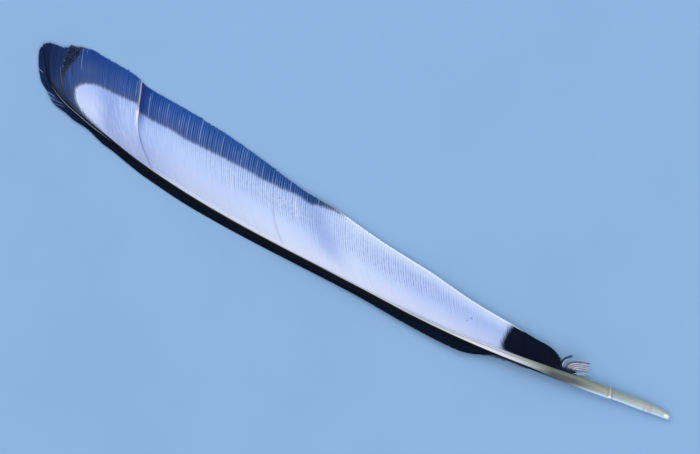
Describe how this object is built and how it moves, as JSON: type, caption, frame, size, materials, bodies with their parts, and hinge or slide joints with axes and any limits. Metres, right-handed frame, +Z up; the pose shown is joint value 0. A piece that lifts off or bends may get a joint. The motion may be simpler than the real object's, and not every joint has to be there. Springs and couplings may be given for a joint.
{
  "type": "magpie flight feather",
  "caption": "Wing feather of a magpie, lying upper side up: a tapering quill with a broad white vane, a narrow black vane and a tuft of down.",
  "frame": {"origin": "on the table, below the middle of the feather's box", "axes": "+X to the feather's tip, +Y to the leading edge, which is the narrow vane's, +Z up out of the feather's upper side"},
  "size_m": [0.1652, 0.0198, 0.0036],
  "materials": {
    "broad_vane": "white barbs with a lavender cast, slate blue to brown along the outer part of the edge, soft satin",
    "narrow_vane": "blue-black barbs, satin",
    "quill": "horn, cream to grey-green, black towards the tip, smooth and a little glossy",
    "down": "brown-grey down, dull"
  },
  "bodies": {
    "root": {"feather": "broad_vane"}
  },
  "joints": []
}
